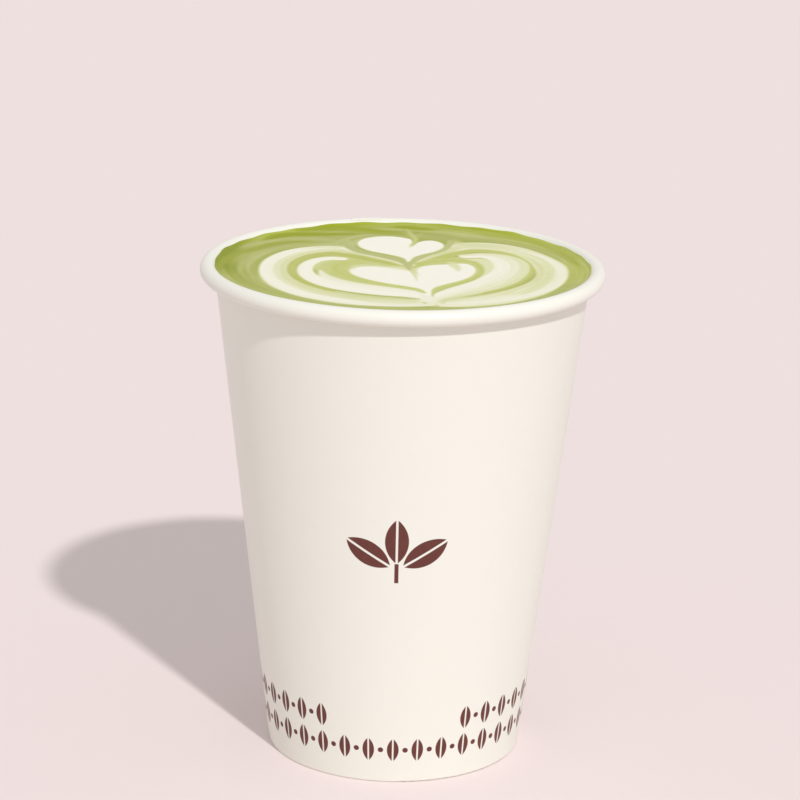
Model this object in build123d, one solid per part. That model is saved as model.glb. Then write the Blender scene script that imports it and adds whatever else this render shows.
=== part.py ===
from build123d import *
from math import acos, asin, atan2, cos, degrees, hypot, radians, sin, tan
import os

# A matcha latte that fills a single-wall paper cup to just under its rim.
#
# Millimetres, +Z up. The origin is the centre of the circle that the cup stands on.
# The cup is two pieces of paper. One sheet is wrapped into a cone and lapped at the side seam, rolled outwards
# at the rim and folded in at the foot. The other is a round base with a turned-down skirt, which the foot's
# fold grips. The drink is one solid from the base up to its surface.

# Driving dimensions
RIM_DIAMETER = 90.0  # across the outside of the rim roll
FOOT_DIAMETER = 57.5  # the wall's outer face, carried down to the ground
CUP_HEIGHT = 112.5  # to the top of the roll
ROLL_DIAMETER = 3.6  # across the rolled paper
PAPER = 0.4  # thickness of the wall and of the base
CURL_GAP = 0.2  # between the wall and the cut end of the roll
BASE_RECESS = 9.6  # from the ground up to the underside of the base
FOLD_SHORTFALL = 1.2  # how far the foot's inward fold ends below the base
FOOT_ROUNDING = 0.4  # outer corners of the fold, where it meets the ground
BASE_BEND = 0.8  # outside radius of the bend between the base and its skirt
SEAM_WIDTH = 7.0  # of the wall's side lap
SEAM_AZIMUTH = 102.0  # degrees from +X towards +Y, so the lap is at the back
SEAM_ROLL_STEP = 0.15  # how much thicker the roll is where the lap runs through it
SEAM_STEP_CLEAR = 20.0  # degrees of the roll's turn between the drink's edge and that thicker part
DRINK_BELOW_RIM = 0.85  # from the top of the roll down to the level of the drink
MENISCUS_RISE = 0.2  # how far the drink climbs where it meets the paper
MENISCUS_WIDTH = 2.0  # how far in from the paper it starts to climb

# The roll's section is a circle, and both faces of the wall run straight into it
ROLL_RADIUS = ROLL_DIAMETER / 2
ROLL_BORE = ROLL_RADIUS - PAPER
ROLL_CENTRE_R = RIM_DIAMETER / 2 - ROLL_RADIUS
ROLL_CENTRE_Z = CUP_HEIGHT - ROLL_RADIUS
ROLL_TURN = 360 - degrees(acos((ROLL_BORE - CURL_GAP) / ROLL_RADIUS))  # from the wall round to the cut end
FOOT_RADIUS = FOOT_DIAMETER / 2
REACH_R = ROLL_CENTRE_R - FOOT_RADIUS
LEAN = atan2(REACH_R, ROLL_CENTRE_Z) - asin(ROLL_BORE / hypot(REACH_R, ROLL_CENTRE_Z))  # of the wall
PLY = PAPER / cos(LEAN)  # one thickness of the leaning paper, measured level
BASE_TOP = BASE_RECESS + PAPER
FOLD_TOP = BASE_RECESS - FOLD_SHORTFALL
DRINK_LEVEL = CUP_HEIGHT - DRINK_BELOW_RIM
DRINK_EDGE = DRINK_LEVEL + MENISCUS_RISE


def wall_r(z, plies=0):
    """Radius at a height of the wall's outer face, or of a face that many plies further in."""
    return FOOT_RADIUS + z * tan(LEAN) - plies * PLY


def roll_point(radius, turn):
    """A point round the roll's centre. The turn is in degrees from the wall, over the top and outwards."""
    angle = radians(180 - turn) - LEAN
    return (ROLL_CENTRE_R + radius * cos(angle), ROLL_CENTRE_Z + radius * sin(angle))


def roll_arc(radius, start, end):
    middle = (start + end) / 2
    return ThreePointArc(roll_point(radius, start), roll_point(radius, middle), roll_point(radius, end))


def drink_edge_turn():
    """Where on the roll the drink's edge lies, or 0 if the drink ends below the roll."""
    if DRINK_EDGE <= roll_point(ROLL_RADIUS, 0)[1]:
        return 0
    return degrees(asin((DRINK_EDGE - ROLL_CENTRE_Z) / ROLL_RADIUS) - LEAN)


def section(edges):
    """The face inside edges that are drawn flat, with radius as X and height as Y."""
    return make_face(edges).face()


def rounded(face, corners, radius):
    """The face with its corners at these points rounded."""
    wanted = [min(face.vertices(), key=lambda v: hypot(v.X - r, v.Y - z)) for r, z in corners]
    return face.fillet_2d(radius, wanted)


def turned(face):
    """A flat section stood up on its height and turned all the way round the cup's axis."""
    return revolve(Plane.XZ * face, Axis.Z)


def wrapped_sheet():
    """The wall, with its rim rolled outwards and its foot folded up inside the base's skirt."""
    foot = [(wall_r(0), 0), (wall_r(0, 3), 0)]
    lines = Polyline(
        roll_point(ROLL_RADIUS, 0),
        (wall_r(PAPER, 1), PAPER),
        (wall_r(PAPER, 2), PAPER),
        (wall_r(FOLD_TOP, 2), FOLD_TOP),
        (wall_r(FOLD_TOP, 3), FOLD_TOP),
        foot[1],
        foot[0],
        roll_point(ROLL_BORE, 0),
    )
    curl = [
        roll_arc(ROLL_BORE, 0, ROLL_TURN),
        Line(roll_point(ROLL_BORE, ROLL_TURN), roll_point(ROLL_RADIUS, ROLL_TURN)),
        roll_arc(ROLL_RADIUS, ROLL_TURN, 0),
    ]
    return turned(rounded(section([*lines.edges(), *curl]), foot, FOOT_ROUNDING))


def side_lap():
    """The second ply along the side seam, and the thickening that it gives the roll."""
    top = ROLL_CENTRE_Z - ROLL_BORE
    middle = ROLL_RADIUS - PAPER / 2
    step = ROLL_RADIUS + SEAM_ROLL_STEP
    start = drink_edge_turn() + SEAM_STEP_CLEAR
    strip = Polyline(
        (wall_r(FOOT_ROUNDING, 0.5), FOOT_ROUNDING),
        (wall_r(FOOT_ROUNDING, -1), FOOT_ROUNDING),
        (wall_r(top, -1), top),
        (wall_r(top, 0.5), top),
        close=True,
    )
    thickening = [
        roll_arc(middle, start, ROLL_TURN),
        Line(roll_point(middle, ROLL_TURN), roll_point(step, ROLL_TURN)),
        roll_arc(step, ROLL_TURN, start),
        Line(roll_point(step, start), roll_point(middle, start)),
    ]
    rings = turned(section(strip.edges())) + turned(section(thickening))
    band = Box(RIM_DIAMETER, SEAM_WIDTH, CUP_HEIGHT * 2, align=(Align.MIN, Align.CENTER, Align.MIN))
    return rings & (Rotation(0, 0, SEAM_AZIMUTH) * band)


def cup_base():
    """The round base, with its skirt turned down between the wall and the foot's fold."""
    inner_bend = (wall_r(BASE_RECESS, 2), BASE_RECESS)
    outer_bend = (wall_r(BASE_TOP, 1), BASE_TOP)
    outline = Polyline(
        (0, BASE_RECESS),
        inner_bend,
        (wall_r(PAPER, 2), PAPER),
        (wall_r(PAPER, 1), PAPER),
        outer_bend,
        (0, BASE_TOP),
        close=True,
    )
    face = rounded(section(outline.edges()), [outer_bend], BASE_BEND)
    return turned(rounded(face, [inner_bend], BASE_BEND - PAPER))


def drink():
    """Filled to its level, and climbing a little where it meets the paper."""
    turn = drink_edge_turn()
    if turn > 0:
        wall_top = roll_point(ROLL_RADIUS, 0)
        edge = roll_point(ROLL_RADIUS, turn)
        side = [Line((wall_r(BASE_TOP, 1), BASE_TOP), wall_top), roll_arc(ROLL_RADIUS, 0, turn)]
    else:
        edge = (wall_r(DRINK_EDGE, 1), DRINK_EDGE)
        side = [Line((wall_r(BASE_TOP, 1), BASE_TOP), edge)]
    climb = (edge[0] - MENISCUS_WIDTH, DRINK_LEVEL)
    surface = [TangentArc(climb, edge, tangent=(1, 0)), Line(climb, (0, DRINK_LEVEL))]
    middle = [Line((0, DRINK_LEVEL), (0, BASE_TOP)), Line((0, BASE_TOP), (wall_r(BASE_TOP, 1), BASE_TOP))]
    return turned(section([*side, *surface, *middle]))


parts = {
    "cup_wall": wrapped_sheet() + side_lap(),
    "cup_base": cup_base(),
    "drink": drink(),
}

os.makedirs("parts", exist_ok=True)
for node, shape in parts.items():
    export_step(shape, f"parts/{node}.step")
    print(node, "solids", len(shape.solids()), "volume", round(shape.volume, 1))
print("wall leans", round(degrees(LEAN), 2), "degrees, foot mid radius", round(wall_r(0, 1.5), 3))
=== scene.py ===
from math import cos, pi, radians, sin, tan

import bpy
import numpy as np
from mathutils import Matrix, Vector

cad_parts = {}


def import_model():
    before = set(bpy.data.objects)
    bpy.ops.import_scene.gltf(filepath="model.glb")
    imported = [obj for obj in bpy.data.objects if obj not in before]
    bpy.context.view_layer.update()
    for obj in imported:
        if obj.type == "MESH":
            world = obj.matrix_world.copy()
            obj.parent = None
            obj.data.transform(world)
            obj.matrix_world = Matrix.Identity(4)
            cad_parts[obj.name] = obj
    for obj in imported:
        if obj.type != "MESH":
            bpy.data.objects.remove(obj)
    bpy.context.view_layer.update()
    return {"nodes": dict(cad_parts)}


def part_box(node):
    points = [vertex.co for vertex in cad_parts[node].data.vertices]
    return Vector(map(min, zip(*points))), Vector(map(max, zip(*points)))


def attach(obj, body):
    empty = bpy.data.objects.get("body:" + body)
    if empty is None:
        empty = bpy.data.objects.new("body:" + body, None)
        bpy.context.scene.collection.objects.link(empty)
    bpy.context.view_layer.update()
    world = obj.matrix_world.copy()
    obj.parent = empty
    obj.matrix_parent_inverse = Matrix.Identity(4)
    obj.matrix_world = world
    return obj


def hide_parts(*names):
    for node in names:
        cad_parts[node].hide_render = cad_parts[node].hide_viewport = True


# A matcha latte, free-poured with layered hearts, in a white paper cup with a plain brown print.
#
# Lengths are in metres, except that the print's sizes and the pour's points are in millimetres.
# The front of the cup faces -Y.
MM = 0.001

# The cup's wall and the drink's surface, as they are built
FOOT_RADIUS = 28.75 * MM
WALL_LEAN = radians(6.72)
MENISCUS_RISE = 0.2 * MM
MENISCUS_WIDTH = 2.0 * MM

# The foam
SURFACE_CELLS = 290  # across the drink
INTO_PAPER = 0.15 * MM  # how far the foam's edge reaches into the paper
MILK_RELIEF = 0.10 * MM  # how far the white foam stands above the green
EDGE_WOBBLE = 0.06 * MM  # of each of the waves along the foam's edge
SWELL = 0.05 * MM  # of the slow waves over the whole surface
SHOULDER_DEPTH = 3 * MM  # below the edge, where the drink's side meets the straight wall
SHOULDER_INSET = 0.35 * MM  # from the wall's outer face
BOTTOM_INSET = 0.55 * MM
BOTTOM_CLEAR = 0.05 * MM  # above the cup's base

# The print, in millimetres: up the wall's slope, and round it from the middle of its front
SPRIG_FOOT = 52.6  # where the leaves spring from
SPRIG_SPREAD = 1.4  # from there to the start of each leaf
SPRIG_RIB = 0.51  # width of the bare line along each leaf
SPRIG_LEAVES = (  # how far aside each starts, its turn in degrees, its length and its width
    (0, 90, 10.6, 5.2),
    (-0.2, 148, 11.6, 5.4),
    (0.2, 32, 11.6, 5.4),
)
STEM_MIDDLE = 51.7
STEM_WIDTH = 0.9
STEM_LENGTH = 4.6
ROW_RADIUS = 30.2  # of the wall where the two rows are
ROW_LEAVES = 34
ROW_HEIGHTS = (8.1, 14.9)
ROW_LEAF_LENGTH = 5.8
ROW_LEAF_WIDTH = 0.46 * ROW_LEAF_LENGTH
ROW_RIB = 0.38
ROW_DOT = 0.62  # radius
ROW_BREAK = radians(29)  # how far round from the front the upper row starts
INK_EDGE = 0.07  # softness of the ink's edges
INK_BAND = 0.2 * MM  # ink is only this near the wall's outer face

# Papers, inks and foams, as sRGB out of 255
PAPER_WHITE = (239, 238, 229)
PAPER_MOTTLE = (235, 234, 223)
PAPER_FIBRE = (229, 226, 214)
BOARD_WHITE = (243, 238, 228)
BOARD_MOTTLE = (236, 229, 216)
BOARD_FIBRE = (221, 211, 194)
INK_BROWN = (98, 48, 41)
INK_THIN = (110, 59, 51)
MILK_WHITE = (249, 246, 234)
GREEN_VIVID = (146, 160, 2)
GREEN_DULL = (139, 149, 44)
FLOOR_PINK = (239, 225, 224)

# Light and view
WORLD_LIGHT = 0.60
SUN_STRENGTH = 1.80
SUN_WIDTH = radians(2.5)
TOWARDS_SUN = Vector((0.29, -0.675, 0.678))
FLOOR_SIZE = 12
CAMERA_PLACE = Vector((0, -0.6772, 0.27677))
CAMERA_TILT = radians(16.163)  # down from level
CAMERA_ROLL = radians(1.188)
CAMERA_LENS = 141.08

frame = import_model()


# ---------------------------------------------------------------- finishes

def linear(rgb):
    """The linear colour, with alpha, of an sRGB colour out of 255."""
    shares = [c / 255 for c in rgb]
    return [s / 12.92 if s <= 0.04045 else ((s + 0.055) / 1.055) ** 2.4 for s in shares] + [1]


class Value:
    """A shader socket. Arithmetic on it adds Math nodes."""

    def __init__(self, shading, socket):
        self.shading = shading
        self.socket = socket

    def maths(self, operation, *inputs):
        return self.shading.node("ShaderNodeMath", {"operation": operation}, dict(enumerate(inputs)))

    def __add__(self, other):
        return self.maths("ADD", self, other)

    def __radd__(self, other):
        return self.maths("ADD", other, self)

    def __sub__(self, other):
        return self.maths("SUBTRACT", self, other)

    def __rsub__(self, other):
        return self.maths("SUBTRACT", other, self)

    def __mul__(self, other):
        return self.maths("MULTIPLY", self, other)

    def __rmul__(self, other):
        return self.maths("MULTIPLY", other, self)

    def __truediv__(self, other):
        return self.maths("DIVIDE", self, other)

    def __rtruediv__(self, other):
        return self.maths("DIVIDE", other, self)

    def smaller(self, other):
        return self.maths("MINIMUM", self, other)

    def larger(self, other):
        return self.maths("MAXIMUM", self, other)

    def size(self):
        return self.maths("ABSOLUTE", self)

    def root(self):
        return self.maths("SQRT", self)

    def angle_to(self, other):
        """The angle whose tangent is this over the other, all the way round."""
        return self.maths("ARCTAN2", self, other)

    def repeat(self, period):
        """Folded into one period that is centred on zero."""
        return self.maths("WRAP", self, period / 2, -period / 2)

    def between(self, low, high):
        """0 below low, 1 above high and smooth in the stretch between them."""
        settings = {"interpolation_type": "SMOOTHSTEP"}
        sockets = {"Value": self, "From Min": low, "From Max": high}
        return self.shading.node("ShaderNodeMapRange", settings, sockets)


class Shading:
    """A node tree in the making."""

    def __init__(self, tree):
        self.tree = tree

    def node(self, kind, settings=None, sockets=None, output=0):
        """A new node: its settings first, then its sockets' values and links."""
        node = self.tree.nodes.new(kind)
        for name, value in (settings or {}).items():
            if name == "stops":
                self.set_stops(node.color_ramp, value)
            else:
                setattr(node, name, value)
        for name, value in (sockets or {}).items():
            self.join(value, node.inputs[name])
        return Value(self, node.outputs[output])

    def join(self, value, socket):
        if isinstance(value, Value):
            self.tree.links.new(value.socket, socket)
        else:
            socket.default_value = value

    def set_stops(self, ramp, stops):
        while len(ramp.elements) < len(stops):
            ramp.elements.new(1)
        for element, (place, colour) in zip(ramp.elements, stops):
            element.position = place
            element.color = colour


class Finish(Shading):
    """A Principled material in the making."""

    def __init__(self, name):
        self.material = bpy.data.materials.new(name)
        self.material.use_nodes = True
        super().__init__(self.material.node_tree)
        self.shader = self.tree.nodes["Principled BSDF"]
        self.spot = self.node("ShaderNodeTexCoord", output="Object")

    def axes(self):
        """The place on the piece as three numbers, in metres."""
        outputs = self.node("ShaderNodeSeparateXYZ", None, {0: self.spot}).socket.node.outputs
        return [Value(self, outputs[i]) for i in range(3)]

    def attribute(self, name):
        return self.node("ShaderNodeAttribute", {"attribute_name": name}, output="Fac")

    def noise(self, grain, detail, stretch=(1, 1, 1), strength=0.5):
        """Noise from 0 to 1 whose features are about grain metres across."""
        place = self.node("ShaderNodeMapping", None, {"Vector": self.spot, "Scale": stretch})
        sockets = {"Vector": place, "Scale": 1 / grain, "Detail": detail, "Roughness": strength}
        return self.node("ShaderNodeTexNoise", None, sockets)

    def cells(self, grain):
        """How far each place is from the middle of its cell, in cells of about grain metres."""
        return self.node("ShaderNodeTexVoronoi", None, {"Vector": self.spot, "Scale": 1 / grain})

    def mix(self, share, low, high):
        """From the colour low to the colour high."""
        low = linear(low) if isinstance(low, tuple) else low
        high = linear(high) if isinstance(high, tuple) else high
        return self.node("ShaderNodeMix", {"data_type": "RGBA"}, {0: share, 6: low, 7: high}, output=2)

    def tint(self, share, low, high, steps=6):
        """From one sRGB colour to another in steps that are even to the eye."""
        stops = []
        for i in range(steps + 1):
            colour = [a + (b - a) * i / steps for a, b in zip(low, high)]
            stops.append((i / steps, linear(colour)))
        return self.node("ShaderNodeValToRGB", {"stops": stops}, {0: share})

    def bump(self, height, depth, under=None):
        """A normal from a height of 0 to 1 that stands for depth metres."""
        sockets = {"Height": height, "Distance": depth, "Strength": 1.0}
        if under is not None:
            sockets["Normal"] = under
        return self.node("ShaderNodeBump", None, sockets)

    def surface(self, **values):
        """Feeds the shader's own sockets and returns the material."""
        for name, value in values.items():
            self.join(value, self.shader.inputs[name.replace("_", " ")])
        return self.material


def leaf(across, up, centre, turn, length, width, rib):
    """How far inside a leaf's ink a place is. The leaf is where two discs overlap, less a bare midrib."""
    radius = (length ** 2 + width ** 2) / (4 * width)
    x = across - centre[0]
    y = up - centre[1]
    along = x * cos(turn) + y * sin(turn)
    aside = (y * cos(turn) - x * sin(turn)).size()
    offset = aside + (radius - width / 2)
    blade = radius - (along * along + offset * offset).root()
    return blade.smaller(aside - rib / 2)


def sprig(across, up):
    """Three leaves over a short stem, at the middle of the cup's front."""
    ink = (STEM_WIDTH / 2 - across.size()).smaller(STEM_LENGTH / 2 - (up - STEM_MIDDLE).size())
    for aside, degrees, length, width in SPRIG_LEAVES:
        turn = radians(degrees)
        reach = SPRIG_SPREAD + length / 2
        centre = (aside + reach * cos(turn), SPRIG_FOOT + reach * sin(turn))
        ink = ink.larger(leaf(across, up, centre, turn, length, width, SPRIG_RIB))
    return ink


def leaf_row(across, up, height):
    """A row of upright leaves round the cup, with a dot between each two."""
    pitch = 2 * pi * ROW_RADIUS / ROW_LEAVES
    place = across.repeat(pitch)
    leaves = leaf(place, up, (0, height), radians(90), ROW_LEAF_LENGTH, ROW_LEAF_WIDTH, ROW_RIB)
    x = (across + pitch / 2).repeat(pitch)
    y = up - height
    return leaves.larger(ROW_DOT - (x * x + y * y).root())


def printed(finish):
    """The share of brown ink on the wall: a sprig and, near the foot, two rows of leaves and dots."""
    x, y, z = finish.axes()
    up = z / (MM * cos(WALL_LEAN))
    wall = z * tan(WALL_LEAN) + FOOT_RADIUS
    turn = x.angle_to(0 - y)
    round_row = turn * ROW_RADIUS
    lower, upper = [leaf_row(round_row, up, height) for height in ROW_HEIGHTS]
    upper = upper.smaller((turn.size() - ROW_BREAK) * ROW_RADIUS)
    ink = sprig(turn * wall / MM, up).larger(lower).larger(upper)
    depth = wall - (x * x + y * y).root()
    outer_face = (INK_BAND - depth).between(0, INK_BAND / 2)
    return ink.between(-INK_EDGE, INK_EDGE) * outer_face


def cup_paper():
    """Coated board: a satin face with the board's fibres and mottle faintly under it, and flat brown ink."""
    f = Finish("coated_white_paper")
    ink = printed(f)
    mottle = f.noise(6 * MM, 3)
    fibres = f.noise(0.9 * MM, 4, (1, 1, 0.45), 0.6)
    paper = f.mix(mottle * 0.5, PAPER_WHITE, PAPER_MOTTLE)
    paper = f.mix(fibres.between(0.62, 0.8) * 0.25, paper, PAPER_FIBRE)
    brown = f.mix(fibres.between(0.35, 0.75) * 0.5, INK_BROWN, INK_THIN)
    return f.surface(
        Base_Color=f.mix(ink, paper, brown),
        Roughness=0.36 + fibres * 0.12 + ink * 0.10,
        Specular_IOR_Level=0.42,
        Normal=f.bump(fibres, 0.012 * MM, f.bump(mottle, 0.05 * MM)),
    )


def base_board():
    """The same board, uncoated on its underside, so more matt and its fibres plainer."""
    f = Finish("base_board")
    mottle = f.noise(4 * MM, 3)
    fibres = f.noise(0.7 * MM, 5, (1, 0.4, 1), 0.65)
    colour = f.mix(mottle, BOARD_WHITE, BOARD_MOTTLE)
    return f.surface(
        Base_Color=f.mix(fibres.between(0.6, 0.8) * 0.5, colour, BOARD_FIBRE),
        Roughness=0.62 + fibres * 0.2,
        Specular_IOR_Level=0.35,
        Normal=f.bump(fibres, 0.03 * MM),
    )


def latte_foam():
    """Fine wet foam, from matcha green to milk white as the pour laid it."""
    f = Finish("latte_foam")
    grain = f.noise(0.35 * MM, 3, strength=0.6)
    wisp = f.noise(2.2 * MM, 4, strength=0.6)
    milk = f.attribute("milk")
    blending = milk * (1 - milk) * 4
    milk = milk + (wisp - 0.5) * blending * 0.10 + (grain - 0.5) * blending * 0.05
    vivid = f.tint(milk, GREEN_VIVID, MILK_WHITE)
    dull = f.tint(milk, GREEN_DULL, MILK_WHITE)
    return f.surface(
        Base_Color=f.mix(f.attribute("olive"), vivid, dull),
        Roughness=0.46 + milk * 0.10 + (grain - 0.5) * 0.12,
        Specular_IOR_Level=0.06,
        Normal=f.bump(f.cells(0.45 * MM), 0.015 * MM, f.bump(grain, 0.02 * MM)),
    )


def floor_paint():
    f = Finish("floor_paint")
    return f.surface(Base_Color=linear(FLOOR_PINK), Roughness=0.9, Specular_IOR_Level=0.1)


# ---------------------------------------------------------------- the pour

def ease(v):
    v = np.clip(v, 0, 1)
    return v * v * (3 - 2 * v)


def spline(points, closed=False, steps=24):
    """A smooth curve through control rows, which may have any number of columns."""
    p = np.array(points, float)
    if closed:
        p = np.vstack([p[-1], p, p[0], p[1]])
    else:
        p = np.vstack([2 * p[0] - p[1], p, 2 * p[-1] - p[-2]])
    t = np.linspace(0, 1, steps, endpoint=False)[:, None]
    spans = []
    for a, b, c, d in zip(p, p[1:], p[2:], p[3:]):
        spans.append(b + 0.5 * t * ((c - a) + t * ((2 * a - 5 * b + 4 * c - d) + t * (3 * (b - c) + d - a))))
    if not closed:
        spans.append(p[-2:-1])
    return np.vstack(spans)


def ripple(u, v, seed, around=64, rows=64):
    """Smooth noise from 0 to 1 with features one unit across. It repeats after rows of u and around of v."""
    table = np.random.default_rng(seed).random((rows, around))
    iu = np.floor(u).astype(int)
    iv = np.floor(v).astype(int)
    fu = ease(u - iu)
    fv = ease(v - iv)
    low_u, high_u = iu % rows, (iu + 1) % rows
    low_v, high_v = iv % around, (iv + 1) % around
    near = table[low_u, low_v] * (1 - fu) + table[high_u, low_v] * fu
    far = table[low_u, high_v] * (1 - fu) + table[high_u, high_v] * fu
    return near * (1 - fv) + far * fv


def nearest(x, y, curve, batch=20000):
    """For each place, the nearest sample of a curve and how far away it is."""
    samples = np.empty(x.size, int)
    gaps = np.empty(x.size)
    cx, cy = curve[:, :2].astype(np.float32).T
    for start in range(0, x.size, batch):
        part = slice(start, start + batch)
        squares = (x[part, None] - cx) ** 2 + (y[part, None] - cy) ** 2
        samples[part] = squares.argmin(1)
        gaps[part] = np.sqrt(squares.min(1))
    return samples, gaps


class Pour:
    """The foam's surface as it is poured: how much milk and how much dull green each place has.

    Points are in millimetres from the cup's axis, with +Y away from the drinker.
    """

    def __init__(self, x, y):
        self.x = x.astype(np.float32)
        self.y = y.astype(np.float32)
        self.milk = np.zeros(x.size)
        self.olive = np.zeros(x.size)

    def lay(self, cover, milk, olive):
        self.milk += cover * (milk - self.milk)
        self.olive += cover * (olive - self.olive)

    def stroke(self, points, milk, olive, soft=0.9, far=None, streak=0.0, seed=1, strength=1.0):
        """A flow along points of (x, y, half width), with the tone milk on its left and far on its right."""
        line = spline(points)
        k, gap = nearest(self.x, self.y, line)
        way = np.gradient(line[:, :2], axis=0)
        way /= np.hypot(way[:, 0], way[:, 1])[:, None] + 1e-9
        across = (self.y - line[k, 1]) * way[k, 0] - (self.x - line[k, 0]) * way[k, 1]
        half = np.maximum(line[k, 2], 0.001)
        steps = np.hypot(*np.diff(line[:, :2], axis=0).T)
        along = np.concatenate([[0], np.cumsum(steps)])[k]
        cover = ease((half - gap) / soft + 0.5) * np.clip(half / (0.35 * soft), 0, 1)
        tone = np.full(half.size, milk)
        if far is not None:
            tone += (far - milk) * ease(0.5 - across / (2 * half))
        if streak:
            tone += 2 * streak * (ripple(across * 1.6 + 7, along * 0.06, seed) - 0.5)
            tone += streak * (ripple(across * 3.7 + 7, along * 0.11 + 5, seed + 9) - 0.5)
        self.lay(cover * strength, np.clip(tone, 0, 1), olive)

    def pool(self, outline, milk, olive, soft=0.9):
        """A spread of foam inside a smooth outline."""
        line = spline(outline, closed=True)
        _, gap = nearest(self.x, self.y, line)
        inside = np.zeros(self.x.size, bool)
        for (ax, ay), (bx, by) in zip(line, np.roll(line, -1, axis=0)):
            crosses = (ay > self.y) != (by > self.y)
            inside ^= crosses & (self.x < (bx - ax) * (self.y - ay) / (by - ay + 1e-12) + ax)
        self.lay(ease(np.where(inside, gap, -gap) / soft + 0.5), milk, olive)


DRINK_REACH = 42.0  # from the axis to the foam's edge, in millimetres
FIGURE = [  # the outline of the whole figure, in millimetres
    (-31.2, 0), (-30.8, -10), (-28, -20), (-20, -30.5), (-10, -35.3), (0, -36.8), (8, -36.2),
    (20, -33.5), (29, -27), (34, -20), (36.5, -10), (36.3, 0), (34, 9), (28, 17.5), (20, 23.5),
    (12, 25), (6, 28.5), (-4, 30), (-11, 25), (-14, 19), (-18, 17.3), (-24, 13.5), (-29, 7),
]


def ground(pour):
    """The green round the figure, streaked the way the foam turned."""
    figure = spline(FIGURE, closed=True)
    _, gap = nearest(pour.x, pour.y, figure)
    reach = np.hypot(pour.x, pour.y)
    shore = np.maximum(DRINK_REACH - reach, 0)
    lane = gap / (gap + shore + 1e-6)
    turn = np.arctan2(pour.x, pour.y) / (2 * pi)
    broad = ripple(lane * 4 + 3, turn * 9, 3, 9) - 0.5
    fine = ripple(lane * 11 + 3, turn * 14, 4, 14) - 0.5
    pour.milk += 0.33 + 0.30 * broad + 0.24 * fine
    pour.olive += 0.85

    # Clearer and brighter green along the left, far and right shores
    pour.milk -= 0.44 * ease((-pour.x - 28) / 12) * ease((pour.y + 16) / 14) * ease(1 - shore / 9)
    pour.milk -= 0.22 * ease((pour.y - 14) / 22) * ease(1 - shore / 11)
    pour.olive -= 0.75 * ease((pour.y - 10) / 20) * ease(1 - shore / 10)
    pour.olive -= 0.35 * ease((pour.x - 30) / 8) * ease(1 - abs(pour.y) / 20)


def ground_streaks(pour):
    """The green that swirls round the figure."""
    points = [
        (-24, 33, 1), (-18, 35.6, 2.6), (-11, 34.6, 2.2), (-6, 32.8, 1.6), (-1, 32, 0.5),
    ]
    pour.stroke(points, 0.05, 0.0, soft=3.0, strength=0.9, streak=0.06, seed=5)
    points = [
        (-32.5, 20.5, 0.2), (-28.6, 26, 2.0), (-25, 27.9, 1.9), (-19, 28.6, 1.4), (-13, 29.4, 0.9),
        (-9, 30.4, 0.2),
    ]
    pour.stroke(points, 0.0, 0.05, soft=2.0, strength=0.95)
    points = [
        (-3, 37.6, 0.4), (0.5, 37.5, 1.7), (4, 36.2, 1.4), (8, 35.4, 0.4),
    ]
    pour.stroke(points, 0.0, 0.0, soft=2.2, strength=0.9)
    points = [
        (-9, 30.4, 0.3), (-5, 30.6, 1), (-1, 30.6, 1), (1.5, 29.6, 0.3),
    ]
    pour.stroke(points, 0.15, 0.6, soft=2.0, strength=0.8)
    points = [
        (-37, 12, 0.2), (-34.6, 17, 1.1), (-30, 21, 1.3), (-24.6, 23.6, 1.4), (-18, 23.4, 1.5),
        (-13.5, 21, 0.4),
    ]
    pour.stroke(points, 0.40, 0.9, soft=1.8, strength=0.85)
    points = [
        (-41, -6, 0.5), (-39.4, 2, 1.3), (-37.2, 7.6, 1.2), (-33.4, 13, 1.4), (-29.5, 17.6, 1.4),
        (-25, 20.4, 1.0), (-20, 21, 0.3),
    ]
    pour.stroke(points, 0.12, 0.6, soft=1.8, strength=0.8)
    points = [
        (-36, -12, 0.3), (-35.4, -2, 0.8), (-33.4, 6, 0.9), (-29.5, 12.6, 1), (-24.5, 16.6, 1.2),
        (-18, 18.8, 0.3),
    ]
    pour.stroke(points, 0.38, 0.9, soft=1.4, strength=0.7)
    points = [
        (-33.6, -14, 0.3), (-33.0, -4, 0.6), (-31.3, 4, 0.8), (-27.6, 11.6, 0.8), (-22, 15.6, 0.6),
    ]
    pour.stroke(points, 0.28, 0.9, soft=1.2, strength=0.7)
    points = [
        (-38, -16, 0.3), (-34, -22.6, 1.2), (-27, -29.6, 1.4), (-18, -35.2, 1.2), (-9, -38.4, 0.8),
    ]
    pour.stroke(points, 0.38, 0.95, soft=1.8, strength=0.6)
    points = [
        (10, 36, 0.3), (17, 34.3, 1.2), (24, 30.4, 1.1), (30, 24.6, 0.3),
    ]
    pour.stroke(points, 0.34, 0.3, soft=2.0, strength=0.7)
    points = [
        (16, 33, 0.3), (20, 30.8, 1.2), (25, 28.6, 1.3), (30, 25.2, 1.4), (34, 20, 1.5),
        (37.5, 13, 1.4), (39.8, 6, 0.4),
    ]
    pour.stroke(points, 0.22, 0.35, soft=2.4, strength=0.75)
    points = [
        (4, 29.5, 0.4), (8, 28, 1.3), (15, 27.0, 1.3), (21, 25.0, 1.3), (27, 20.8, 1.1),
        (32, 14.3, 1.1), (35.1, 7, 0.6),
    ]
    pour.stroke(points, 0.30, 1.0, soft=1.8, strength=0.8)
    points = [
        (37.6, 6, 0.3), (38.6, -1, 1.2), (38.2, -8, 1.3), (36.4, -14, 0.8),
    ]
    pour.stroke(points, 0.40, 0.4, soft=2.0, strength=0.7)
    points = [
        (38.8, -10, 0.3), (35.4, -19.4, 1.6), (29, -27.4, 1.4), (21, -34, 1.2), (12, -37.4, 1.0),
        (7, -38.3, 0.4),
    ]
    pour.stroke(points, 0.36, 1.0, soft=1.8, strength=0.8)


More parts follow.
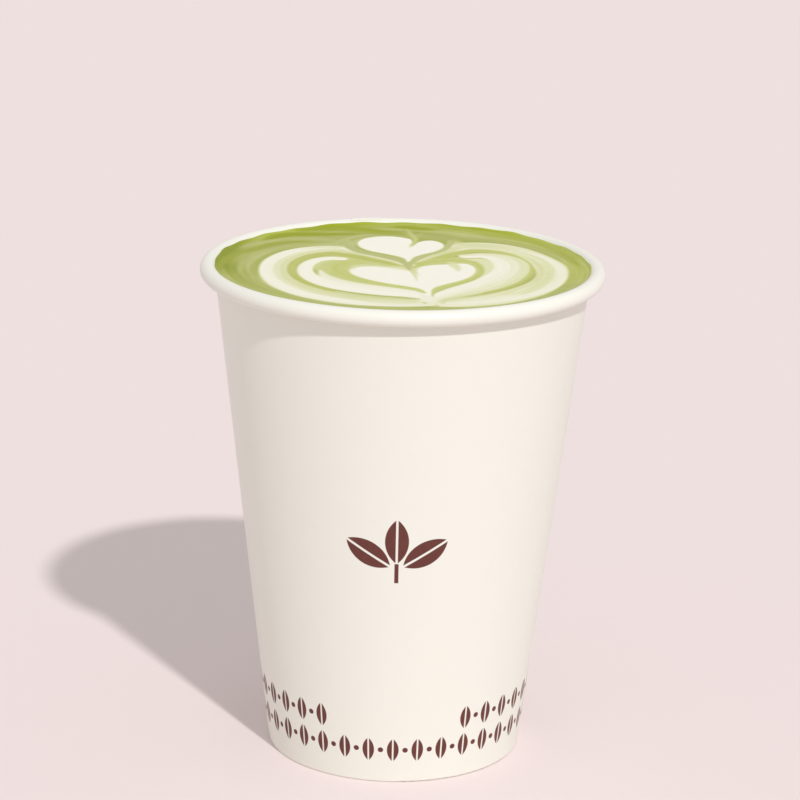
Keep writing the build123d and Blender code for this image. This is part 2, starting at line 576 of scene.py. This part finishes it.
def outer_wrap(pour):
    """The two arms of the widest layer."""
    points = [
        (1.4, -4, 0.5), (-1.5, 1.6, 1.2), (-6, 5.8, 1.5), (-10.5, 9.8, 1.8), (-15, 14.0, 2.6),
        (-20, 13.0, 3.0), (-24.5, 9.3, 3.1), (-27.6, 3, 3.1), (-28.6, -4, 3.1), (-27.8, -12, 3.3),
        (-24.8, -20, 3.7), (-19.5, -26.6, 4.0), (-12, -31.3, 4.0), (-4, -33.2, 3.7), (4, -33.2, 3.1),
        (8, -32, 1.5),
    ]
    pour.stroke(points, 0.70, 0.2, soft=0.9, far=0.93, streak=0.05, seed=11)
    points = [
        (1.6, -4, 0.5), (3.6, 2, 1.3), (6.3, 7.2, 1.5), (9.6, 13, 2.0), (13.5, 19, 3.4),
        (19, 19.4, 4.0), (25, 16, 3.7), (30, 9.6, 3.3), (32.6, 2, 3.8), (33, -6, 3.5), (31.2, -14, 3.7),
        (27.2, -21.5, 4.2), (21, -27.8, 4.4), (13.5, -32, 3.9), (7, -33.4, 2.8), (3, -33.2, 1.2),
    ]
    pour.stroke(points, 0.84, 0.1, soft=0.9, far=0.76, streak=0.09, seed=12)
    points = [
        (1.4, -5, 0.3), (-1.5, 1.6, 0.9), (-6, 5.8, 1.2), (-10.5, 9.8, 1.3), (-14, 12.4, 1.0),
    ]
    pour.stroke(points, 0.64, 0.3, soft=1.2, strength=0.6)
    points = [
        (1.6, -5, 0.3), (3.6, 2, 0.9), (6.3, 7.2, 1.0), (9.6, 13, 1.3), (12, 18, 1.0),
    ]
    pour.stroke(points, 0.66, 0.3, soft=1.2, strength=0.6)
    points = [
        (-16, 15.3, 0.3), (-20.5, 13.8, 1.0), (-25.4, 10.0, 1.3), (-28.8, 3, 1.3), (-29.9, -4, 1.3),
        (-29.2, -12, 1.3), (-26.5, -20, 1.5), (-21.5, -27, 1.5), (-14, -31.6, 1.2), (-8, -33.4, 0.4),
    ]
    pour.stroke(points, 0.95, 0.1, soft=1.0, strength=0.9)
    points = [
        (24, 17.5, 0.2), (30, 12.2, 0.7), (34.2, 4, 0.9), (35.2, -4, 0.9), (34.3, -12, 1.0),
        (31, -20, 1.2), (26, -26.4, 1.2), (19, -30.6, 1.0), (12, -32.5, 0.4),
    ]
    pour.stroke(points, 0.93, 0.1, soft=0.8, strength=0.85)
    points = [
        (26, -24, 0.3), (21, -28, 2.4), (14, -31.6, 2.0), (9, -33, 1.0),
    ]
    pour.stroke(points, 0.92, 0.1, soft=2.0, strength=0.7)
    points = [
        (-18.5, 6.5), (-12, 8.4), (-5, 4.6), (1.3, -1.5), (6, 5), (11, 8.5), (15, 8), (19, 3), (19, -5),
        (15, -13), (8, -22), (5, -26), (-4, -20), (-13, -14), (-19, -6), (-20, 1),
    ]
    pour.pool(points, 0.54, 0.25, soft=1.0)
    points = [
        (11.6, 25.4, 0.6), (13.2, 21.4, 1.6), (16.4, 20.6, 1.8), (21.0, 19.8, 1.2), (25, 17.2, 0.5),
    ]
    pour.stroke(points, 0.68, 0.3, soft=3.0, strength=0.75)
    points = [
        (-12.6, 17.2, 0.5), (-15.6, 16.4, 1.2), (-19.0, 15.4, 0.9), (-22.4, 13.2, 0.4),
    ]
    pour.stroke(points, 0.72, 0.3, soft=2.4, strength=0.6)


def outer_lines(pour):
    """The green drawn out between the wraps."""
    points = [
        (0.9, -2.5, 0.3), (-2.5, 1.2, 0.9), (-7, 4.8, 1.4), (-11.6, 8.2, 1.5), (-16, 9.6, 1.5),
        (-19.6, 8.0, 1.4), (-22.4, 4.4, 1.15), (-24.1, -0.5, 0.95), (-24.4, -5.5, 0.9),
        (-23.8, -10, 0.8), (-22.2, -15, 0.7), (-19.6, -19.8, 0.75), (-16, -23.6, 0.8),
        (-11.5, -26.7, 0.7),
    ]
    pour.stroke(points, 0.42, 0.25, soft=0.8, streak=0.04, seed=21)
    points = [
        (-14, -25.2, 0.5), (-10, -27.5, 0.8), (-5.6, -29, 0.75), (-1, -29.9, 0.7), (4, -30.4, 0.3),
    ]
    pour.stroke(points, 0.66, 0.4, soft=1.1, streak=0.04, seed=23, strength=0.9)
    points = [
        (2.2, -3, 0.3), (4.4, 1.6, 0.9), (7.5, 6.2, 1.4), (10.8, 10.8, 1.6), (14.5, 14.6, 1.3),
        (18.5, 15.4, 1.2), (22.4, 13.6, 1.2), (25.4, 9.8, 1.1), (27.4, 5, 0.9), (28.4, 0, 0.75),
        (28.4, -4.5, 0.7), (27.4, -9, 0.6), (25.6, -13.6, 0.55), (22.8, -18, 0.6), (19.2, -21.8, 0.7),
        (15, -25.1, 0.7),
    ]
    pour.stroke(points, 0.47, 0.2, soft=0.8, streak=0.04, seed=22)
    points = [
        (17, -23.6, 0.4), (13, -26.6, 0.8), (10.4, -28.8, 0.7), (9.2, -30.6, 0.6), (8.6, -33.4, 0.4),
    ]
    pour.stroke(points, 0.68, 0.4, soft=1.0, strength=0.9)
    points = [
        (27, 11, 0.2), (29.6, 5, 0.55), (30.7, -1, 0.6), (30.3, -7, 0.5), (28.6, -13, 0.45),
        (25.6, -19, 0.4), (22, -24, 0.4), (17, -28.4, 0.2),
    ]
    pour.stroke(points, 0.68, 0.2, soft=0.9, strength=0.85)
    points = [
        (20, 20, 0.2), (26, 15.6, 0.6), (30.6, 9.4, 0.6), (32.8, 2, 0.6), (33, -6, 0.5),
        (31.2, -14, 0.4), (27, -21.6, 0.2),
    ]
    pour.stroke(points, 0.72, 0.2, soft=1.0, strength=0.6)


def inner_wrap(pour):
    """The two arms of the inner layer, which meet below the middle heart."""
    points = [
        (-13.6, 5.0, 1.3), (-16.4, 5.2, 1.5), (-19.3, 3.2, 1.6), (-21.1, -1, 1.7), (-21.5, -6, 1.8),
        (-20.6, -11, 2.0), (-18.3, -15.6, 2.4), (-14.6, -19.4, 2.9), (-9.6, -22.2, 3.2),
        (-4, -24.2, 3.2), (1.4, -25.6, 2.9), (5, -28, 2.2), (5.8, -31.5, 1.0),
    ]
    pour.stroke(points, 0.965, 0.1, soft=0.8, streak=0.02, seed=31)
    points = [
        (-18.2, -5, 0.1), (-17.7, -9, 0.9), (-16.2, -13, 1.6), (-13, -17, 2.2), (-8.4, -19.8, 2.2),
        (-3, -21.8, 1.9), (2, -23.6, 1.4), (4.4, -25, 0.6),
    ]
    pour.stroke(points, 0.94, 0.1, soft=1.2, strength=0.9)
    points = [
        (-15, 3.6, 0.3), (-17.8, 1.6, 0.6), (-19, -3, 0.5), (-18.9, -8, 0.4),
    ]
    pour.stroke(points, 0.68, 0.1, soft=1.6, strength=0.6)
    points = [
        (14.2, 6.2, 0.6), (17.4, 6.2, 1.8), (19.6, 2.6, 2.1), (19.9, -2.4, 2.1), (19.0, -7.4, 1.9),
        (16.8, -12, 1.4), (13.4, -17, 0.6),
    ]
    pour.stroke(points, 0.77, 0.1, soft=1.4)
    points = [
        (14.3, 9.9, 1.9), (18.0, 10.8, 2.5), (21.6, 9.0, 3.3), (23.9, 4.5, 3.9), (24.2, -1, 4.0),
        (23, -7, 4.2), (20.6, -12.4, 4.4), (17, -17.6, 4.2), (13, -21.8, 3.6), (9.6, -25.6, 2.8),
        (7.2, -29, 1.8), (6.4, -32, 0.8),
    ]
    pour.stroke(points, 0.80, 0.1, soft=0.8, far=0.975, streak=0.05, seed=32)
    points = [
        (18, -13, 0.3), (15.6, -17, 1.6), (12.4, -20.6, 1.6), (9.4, -24.4, 1.2), (7.4, -28, 0.6),
    ]
    pour.stroke(points, 0.95, 0.1, soft=1.6, strength=0.7)


def middle_lines(pour):
    """The green round the middle heart."""
    points = [
        (-10, 3.5, 1.0), (-13.6, 0.8, 1.6), (-15.2, -4, 1.9), (-13.6, -8.6, 1.8), (-10.8, -12.4, 1.3),
        (-7.4, -15.6, 1.1), (-3.4, -18.2, 1.0), (0.4, -20.2, 0.95), (3.2, -22.2, 0.7),
        (4.8, -24.6, 0.3),
    ]
    pour.stroke(points, 0.52, 0.1, soft=1.0, streak=0.04, seed=41)
    points = [
        (-17.0, -2.0, 0.4), (-16.6, -5.5, 0.8), (-16.0, -8.4, 0.3),
    ]
    pour.stroke(points, 0.58, 0.1, soft=1.4, strength=0.8)
    points = [
        (3.5, 1.5, 1), (7, 4.2, 1.8), (11.4, 5.4, 1.5), (14.8, 4.6, 1.1), (16.5, 1, 0.95),
        (17.1, -3.5, 0.95), (16.5, -8, 0.9), (14.9, -12, 0.9), (12.3, -15.6, 0.9), (9.4, -18.8, 0.85),
        (7.4, -21.6, 0.7), (6.5, -24.6, 0.45), (6.5, -28, 0.2),
    ]
    pour.stroke(points, 0.50, 0.15, soft=0.9, streak=0.04, seed=42)


def middle_heart(pour):
    """Two full lobes, drawn down to the tip."""
    points = [
        (-1.6, -1.2, 0.6), (0.8, -3.0, 1.1), (2.4, -6.0, 1.2), (3.0, -8.5, 0.5),
    ]
    pour.stroke(points, 0.68, 0.2, soft=1.2)
    points = [
        (4.6, -0.8, 0.5), (3.2, -3.6, 0.9), (2.8, -7.0, 0.6),
    ]
    pour.stroke(points, 0.70, 0.2, soft=1.2)
    lobe = [
        (2.2, -6.2), (0.4, -4.0), (-2.6, -2.4), (-6.6, -1.7), (-9.6, -2.3), (-11.7, -5), (-11.0, -9.2),
        (-8.2, -13.0), (-4.2, -16.2), (0.2, -18.6), (3.6, -20.8), (5.3, -24.5), (5.8, -28),
        (6.2, -24.5), (5.6, -18), (4.2, -11),
    ]
    pour.pool(lobe, 0.985, 0.1, soft=0.9)
    points = [
        (-11.2, -5.6, 0.3), (-10.8, -2.4, 0.7), (-9, -1.0, 0.9), (-5.6, -0.9, 0.6),
    ]
    pour.stroke(points, 0.76, 0.1, soft=1.6, strength=0.7)
    points = [
        (2.2, -5.6, 0.5), (-0.6, -3.9, 0.9), (-3.6, -2.2, 0.9), (-6, -1.4, 0.5),
    ]
    pour.stroke(points, 0.80, 0.1, soft=1.6, strength=0.7)
    lobe = [
        (3.4, -8), (3.2, -4.2), (4.4, -1.2), (6.8, 0.6), (9.6, 1.4), (12.4, 2.6), (14.6, 2.0),
        (15.9, -0.8), (16.1, -4.6), (15.0, -9), (12.6, -13), (9.6, -16.2), (7.0, -19.6), (6.1, -23.5),
        (6.0, -28), (5.2, -24), (4.4, -16),
    ]
    pour.pool(lobe, 0.985, 0.1, soft=0.8)
    points = [
        (10.8, 3.0, 1.0), (11.5, 0.4, 1.2), (12.1, -2.2, 0.8), (12.3, -5.6, 0.1),
    ]
    pour.stroke(points, 0.72, 0.1, soft=1.2, strength=0.85)
    points = [
        (1.2, 2.5, 0.45), (1.5, -2, 0.55), (2.1, -6, 0.45), (2.8, -10, 0.32), (3.2, -15, 0.1),
    ]
    pour.stroke(points, 0.62, 0.3, soft=0.9, strength=0.85)


def top_heart(pour):
    """The last heart, with its green outline and the notch of the final cut."""
    points = [
        (-13.6, 25, 0.4), (-13.1, 20.5, 0.9), (-11.8, 15.6, 1.1), (-9.4, 12, 1.2), (-5.8, 9.2, 1.2),
        (-2.2, 6.4, 1.2), (0.2, 3.0, 1.0), (1.1, -0.8, 0.8), (1.5, -4, 0.3),
    ]
    pour.stroke(points, 0.42, 0.95, soft=0.9)
    points = [
        (10.6, 25, 0.4), (10.4, 20.6, 0.8), (9.3, 16.4, 0.9), (7.2, 12.6, 0.9), (4.8, 9.2, 0.9),
        (2.9, 5.6, 0.9), (1.8, 1.8, 0.7), (1.4, -2, 0.3),
    ]
    pour.stroke(points, 0.46, 0.9, soft=0.9)
    points = [
        (-12.4, 24, 0.2), (-12.0, 20, 0.5), (-11.2, 17, 0.2),
    ]
    pour.stroke(points, 0.5, 0.7, soft=1.0, strength=0.6)
    lobe = [
        (2.0, 24.2), (0.6, 26.6), (-2.6, 27.9), (-6.2, 27.3), (-9.1, 24.8), (-10.4, 21), (-9.9, 16.8),
        (-7.8, 13.4), (-4.6, 10.9), (-1.6, 8.6), (0.3, 6.2), (1.1, 3.0), (1.7, 8), (2.4, 16),
    ]
    pour.pool(lobe, 0.99, 0.1, soft=0.8)
    lobe = [
        (2.4, 19.6), (3.4, 22.6), (5.0, 24.4), (7.0, 24.5), (8.7, 22.6), (9.3, 19.8), (8.6, 16.4),
        (6.7, 13.2), (4.2, 10.4), (2.4, 7.4), (1.4, 3.6), (0.8, 8), (1.2, 14),
    ]
    pour.pool(lobe, 0.99, 0.1, soft=0.8)
    points = [
        (0.6, 36, 0.2), (1.5, 32, 0.45), (2.3, 28.4, 0.65), (2.8, 25.2, 0.65), (2.6, 22.4, 0.5),
        (2.0, 19.8, 0.4), (1.5, 17.0, 0.1),
    ]
    pour.stroke(points, 0.50, 0.5, soft=1.0)
    points = [
        (-1.0, 33.6, 0.1), (0.8, 31.4, 0.35), (1.8, 28.4, 0.1),
    ]
    pour.stroke(points, 0.50, 0.5, soft=1.2, strength=0.6)
    points = [
        (5.0, 33.4, 0.1), (3.8, 30, 0.35), (3.1, 27, 0.1),
    ]
    pour.stroke(points, 0.50, 0.6, soft=1.2, strength=0.6)


def tip(pour):
    """Where the cut that ends the pour leaves the figure."""
    points = [
        (4.0, -26, 0.4), (5.6, -30, 2.0), (5.4, -33, 2.0),
    ]
    pour.stroke(points, 0.90, 0.1, soft=2.0, strength=0.8)
    points = [
        (4.7, -33.1, 0.5), (4.85, -33.5, 0.55),
    ]
    pour.stroke(points, 0.62, 0.8, soft=0.6, strength=0.9)
    points = [
        (7.2, -34.6, 0.1), (7.4, -36.4, 0.9), (8, -39, 1.5),
    ]
    pour.stroke(points, 0.40, 0.7, soft=1.2, strength=0.6)


def poured(x, y):
    """The share of milk and of dull green at places on the drink's surface, given in millimetres."""
    pour = Pour(x, y)
    ground(pour)
    ground_streaks(pour)
    outer_wrap(pour)
    outer_lines(pour)
    inner_wrap(pour)
    middle_lines(pour)
    middle_heart(pour)
    top_heart(pour)
    tip(pour)
    return np.clip(pour.milk, 0, 1), np.clip(pour.olive, 0, 1)


# ---------------------------------------------------------------- pieces

def foam_disc(reach):
    """A grid of even cells, drawn round into a disc because no primitive disc has them, and its places."""
    bpy.ops.object.select_all(action="DESELECT")
    bpy.ops.mesh.primitive_grid_add(x_subdivisions=SURFACE_CELLS, y_subdivisions=SURFACE_CELLS, size=2)
    piece = bpy.context.object
    places = np.zeros(len(piece.data.vertices) * 3)
    piece.data.vertices.foreach_get("co", places)
    places = places.reshape(-1, 3)
    square = np.abs(places[:, :2]).max(1)
    radius = np.hypot(places[:, 0], places[:, 1])
    places[:, :2] *= (reach * square / np.maximum(radius, 1e-9))[:, None]
    return piece, places


def foam_height(x, y, milk, edge, top):
    """The foam's height: milk stands a little proud, and the edge climbs the paper unevenly."""
    climb = np.clip((np.hypot(x, y) - edge + MENISCUS_WIDTH) / MENISCUS_WIDTH, 0, 1)
    angle = np.arctan2(y, x)
    waves = np.sin(7 * angle + 1) + np.sin(13 * angle + 2) + np.sin(29 * angle)
    swell = np.sin(x / (9 * MM) + 1) * np.cos(y / (7 * MM))
    at_edge = MENISCUS_RISE * climb ** 2 + EDGE_WOBBLE * waves * climb
    inside = (MILK_RELIEF * (milk - 0.5) + SWELL * swell) * (1 - climb)
    return top - MENISCUS_RISE + at_edge + inside


def fill_below(radius, top, bottom):
    """Carries the open sheet's edge down inside the wall and closes it just above the cup's base."""
    bpy.ops.object.mode_set(mode="EDIT")
    bpy.ops.mesh.select_mode(type="EDGE")
    bpy.ops.mesh.select_all(action="DESELECT")
    bpy.ops.mesh.select_non_manifold()
    shoulder = top - SHOULDER_DEPTH
    for start, end, inset in ((top, shoulder, SHOULDER_INSET), (shoulder, bottom, BOTTOM_INSET)):
        wanted = FOOT_RADIUS + end * tan(WALL_LEAN) - inset
        scale = wanted / radius
        bpy.ops.mesh.extrude_edges_move(TRANSFORM_OT_translate={"value": (0, 0, end - start)})
        bpy.ops.transform.resize(value=(scale, scale, 0), center_override=(0, 0, end))
        radius = wanted
    bpy.ops.mesh.extrude_edges_move()
    bpy.ops.mesh.merge(type="CENTER")
    bpy.ops.mesh.select_all(action="SELECT")
    bpy.ops.mesh.normals_make_consistent(inside=False)
    bpy.ops.object.mode_set(mode="OBJECT")


def latte():
    """The drink: its poured surface, over a body that fills the cup."""
    low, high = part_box("drink")
    reach = high.x + INTO_PAPER
    piece, places = foam_disc(reach)
    x, y = places[:, 0], places[:, 1]
    milk, olive = poured(x / MM, y / MM)
    places[:, 2] = foam_height(x, y, milk, high.x, high.z)
    piece.data.vertices.foreach_set("co", places.ravel())
    for name, values in (("milk", milk), ("olive", olive)):
        field = piece.data.attributes.new(name, "FLOAT", "POINT")
        field.data.foreach_set("value", values.astype(np.float32))
    fill_below(reach, high.z, low.z + BOTTOM_CLEAR)
    bpy.ops.object.shade_smooth_by_angle(angle=radians(35))
    piece.name = "latte"
    piece.data.name = "latte"
    piece.data.materials.append(latte_foam())
    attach(piece, "root")
    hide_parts("drink")


def dress(node, material):
    """Gives a CAD node its finish."""
    mesh = frame["nodes"][node].data
    mesh.materials.clear()
    mesh.materials.append(material)


# ---------------------------------------------------------------- stage, light and camera

def floor():
    bpy.ops.object.select_all(action="DESELECT")
    bpy.ops.mesh.primitive_plane_add(size=FLOOR_SIZE)
    plane = bpy.context.object
    plane.name = "floor"
    plane.data.materials.append(floor_paint())


def world():
    """Even light from all round. What the camera and reflections see of it is the floor's colour."""
    studio = bpy.data.worlds.new("studio")
    studio.use_nodes = True
    bpy.context.scene.world = studio
    studio.node_tree.nodes.remove(studio.node_tree.nodes["Background"])
    sky = Shading(studio.node_tree)
    light = sky.node("ShaderNodeBackground", None, {"Color": (1, 1, 1, 1), "Strength": WORLD_LIGHT})
    backdrop = sky.node("ShaderNodeBackground", None, {"Color": linear(FLOOR_PINK)})
    rays = sky.node("ShaderNodeLightPath").socket.node.outputs
    seen = Value(sky, rays["Is Camera Ray"])
    for name in ("Is Glossy Ray", "Is Transmission Ray"):
        seen = seen.larger(Value(sky, rays[name]))
    choice = sky.node("ShaderNodeMixShader", None, {0: seen, 1: light, 2: backdrop})
    sky.join(choice, studio.node_tree.nodes["World Output"].inputs["Surface"])


def sun():
    lamp = bpy.data.lights.new("sun", "SUN")
    lamp.energy = SUN_STRENGTH
    lamp.angle = SUN_WIDTH
    holder = bpy.data.objects.new("sun", lamp)
    holder.rotation_euler = TOWARDS_SUN.to_track_quat("Z", "Y").to_euler()
    bpy.context.scene.collection.objects.link(holder)


def camera():
    eye = bpy.data.cameras.new("camera")
    eye.lens = CAMERA_LENS
    holder = bpy.data.objects.new("camera", eye)
    bpy.context.scene.collection.objects.link(holder)
    look = Matrix.Rotation(pi / 2 - CAMERA_TILT, 4, "X") @ Matrix.Rotation(CAMERA_ROLL, 4, "Z")
    holder.matrix_world = Matrix.Translation(CAMERA_PLACE) @ look
    bpy.context.scene.camera = holder


bpy.context.scene.view_settings.view_transform = "Standard"
camera()
world()
sun()
floor()
dress("cup_wall", cup_paper())
dress("cup_base", base_board())
latte()
